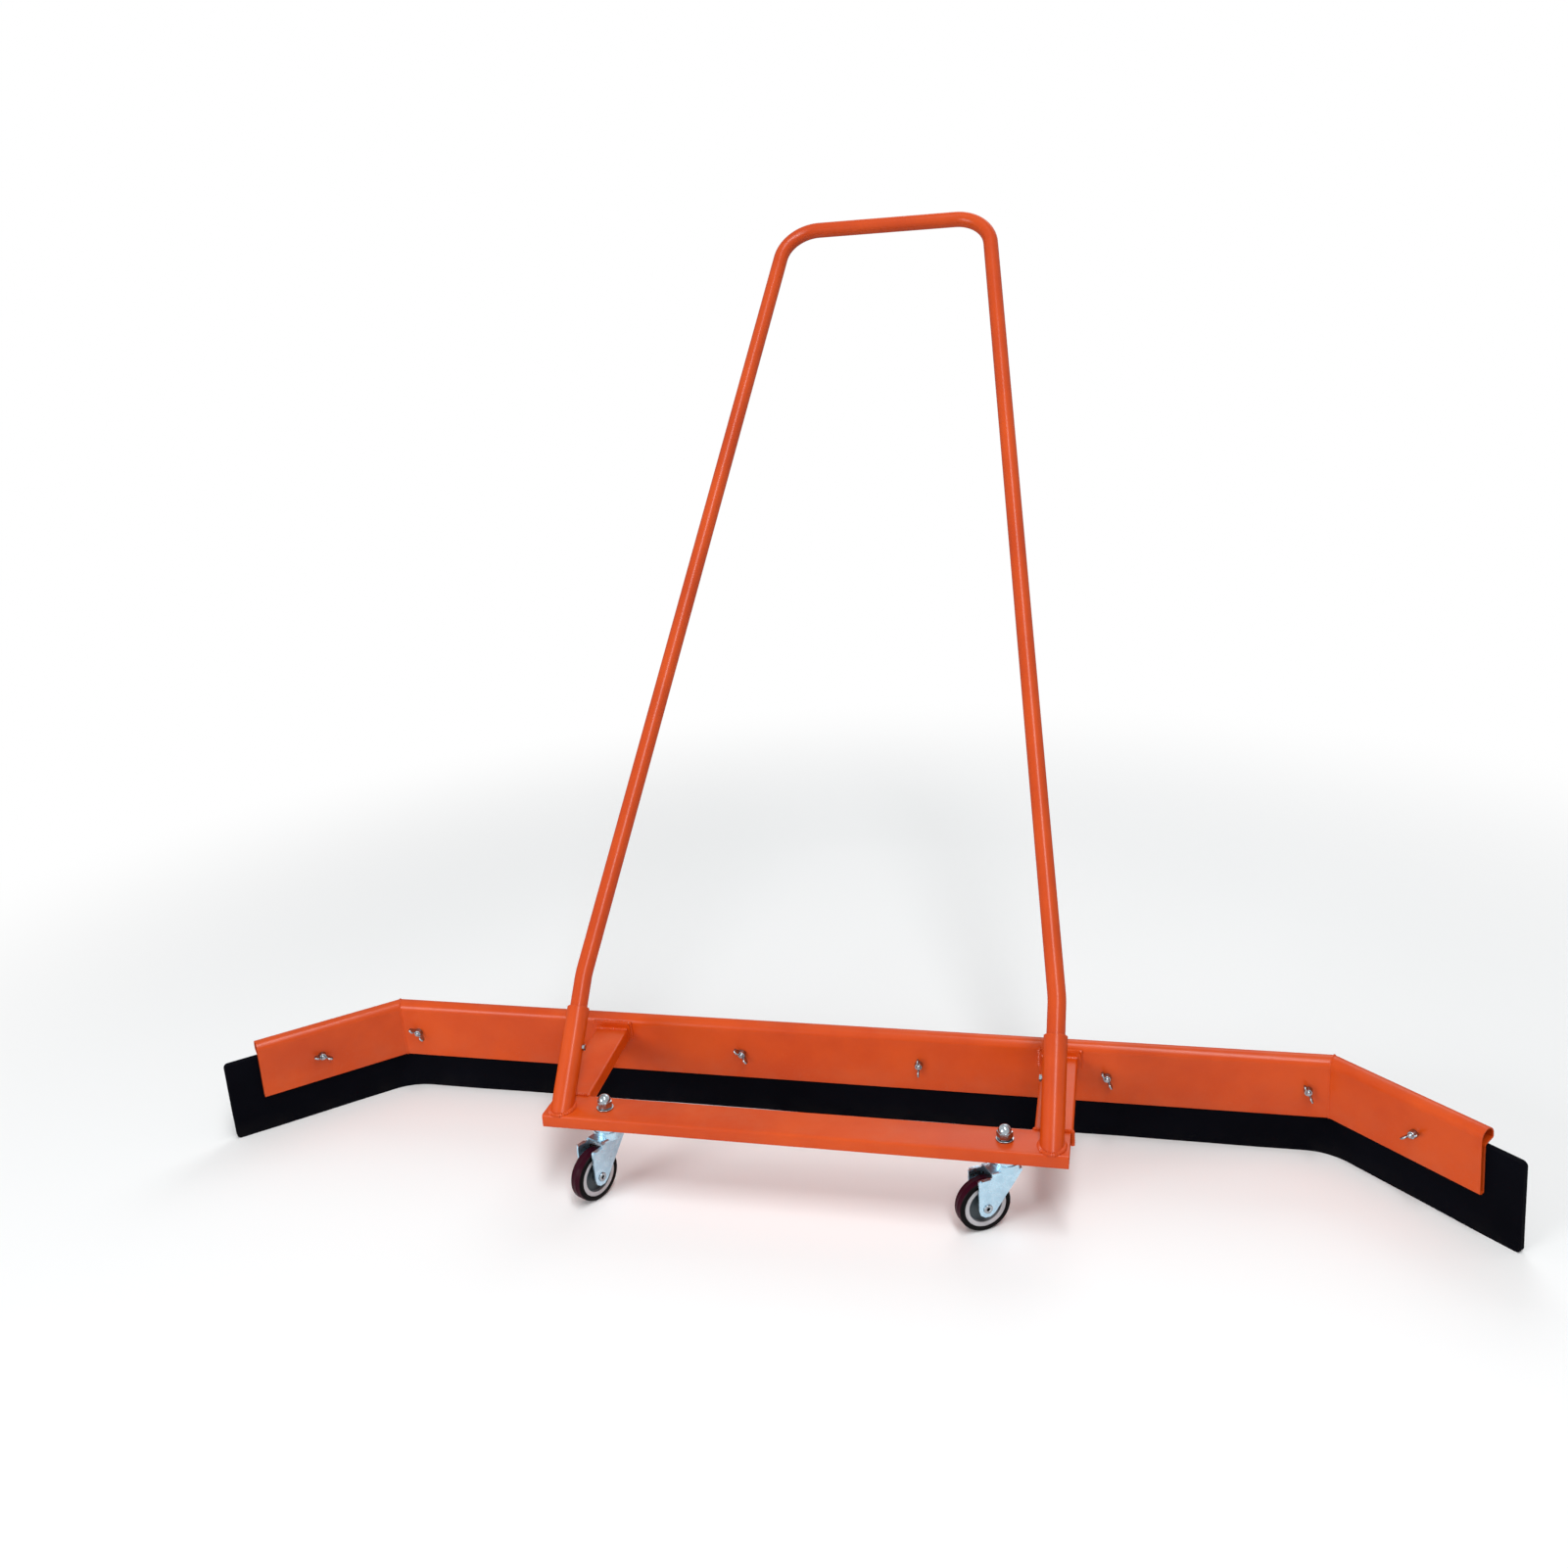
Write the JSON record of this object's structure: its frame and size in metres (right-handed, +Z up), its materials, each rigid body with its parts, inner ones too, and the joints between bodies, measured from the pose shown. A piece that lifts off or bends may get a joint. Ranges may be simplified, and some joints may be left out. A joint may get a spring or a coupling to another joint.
{
  "type": "tennis court squeegee",
  "caption": "Wide court squeegee: a winged rubber blade clamped behind a folded holder, on a welded frame with swivel casters and a leaning tube handle.",
  "frame": {"origin": "on the ground, under the middle of the whole squeegee's bounding box", "axes": "+X along the blade, to the right as seen from in front; +Y backwards, to the side where the user walks; +Z up"},
  "size_m": [1.843, 1.0786, 1.3363],
  "materials": {
    "orange_paint": "semi-gloss",
    "zinc": "bright zinc plated",
    "blade_rubber": "matte",
    "tyre": "smooth, slightly glossy",
    "wheel_plastic": "moulded"
  },
  "bodies": {
    "frame": {"centre_holder": "orange_paint", "left_wing_holder": "orange_paint", "right_wing_holder": "orange_paint", "rubber_blade": "blade_rubber", "left_wing_clamp_bolt": "zinc", "left_wing_clamp_washer": "zinc", "left_wing_wing_nut": "zinc", "left_outer_clamp_bolt": "zinc", "left_outer_clamp_washer": "zinc", "left_outer_wing_nut": "zinc", "left_middle_clamp_bolt": "zinc", "left_middle_clamp_washer": "zinc", "left_middle_wing_nut": "zinc", "left_inner_clamp_bolt": "zinc", "left_inner_clamp_washer": "zinc", "left_inner_wing_nut": "zinc", "right_inner_clamp_bolt": "zinc", "right_inner_clamp_washer": "zinc", "right_inner_wing_nut": "zinc", "right_middle_clamp_bolt": "zinc", "right_middle_clamp_washer": "zinc", "right_middle_wing_nut": "zinc", "right_outer_clamp_bolt": "zinc", "right_outer_clamp_washer": "zinc", "right_outer_wing_nut": "zinc", "right_wing_clamp_bolt": "zinc", "right_wing_clamp_washer": "zinc", "right_wing_wing_nut": "zinc", "base_bar": "orange_paint", "left_arm": "orange_paint", "right_arm": "orange_paint", "left_sleeve": "orange_paint", "right_sleeve": "orange_paint", "handle": "orange_paint", "left_lock_bolt": "zinc", "right_lock_bolt": "zinc", "left_caster_stem": "zinc", "left_caster_race": "zinc", "left_caster_washer": "zinc", "left_dome_nut": "zinc", "right_caster_stem": "zinc", "right_caster_race": "zinc", "right_caster_washer": "zinc", "right_dome_nut": "zinc"},
    "left_swivel": {"left_fork": "zinc", "left_axle": "zinc"},
    "left_wheel": {"left_wheel_centre": "wheel_plastic", "left_tyre": "tyre"},
    "right_swivel": {"right_fork": "zinc", "right_axle": "zinc"},
    "right_wheel": {"right_wheel_centre": "wheel_plastic", "right_tyre": "tyre"}
  },
  "joints": [
    {"name": "left_caster_swivel", "type": "hinge", "parent": "frame", "child": "left_swivel", "pos_m": [-0.28, -0.47108, 0], "axis": [0, 0, 1], "continuous": true},
    {"name": "left_wheel_spin", "type": "hinge", "parent": "left_swivel", "child": "left_wheel", "pos_m": [-0.29383, -0.50213, 0.0375], "axis": [0.9135, -0.4067, 0], "continuous": true},
    {"name": "right_caster_swivel", "type": "hinge", "parent": "frame", "child": "right_swivel", "pos_m": [0.28, -0.47108, 0], "axis": [0, 0, 1], "continuous": true},
    {"name": "right_wheel_spin", "type": "hinge", "parent": "right_swivel", "child": "right_wheel", "pos_m": [0.25149, -0.48959, 0.0375], "axis": [0.5446, -0.8387, 0], "continuous": true}
  ]
}
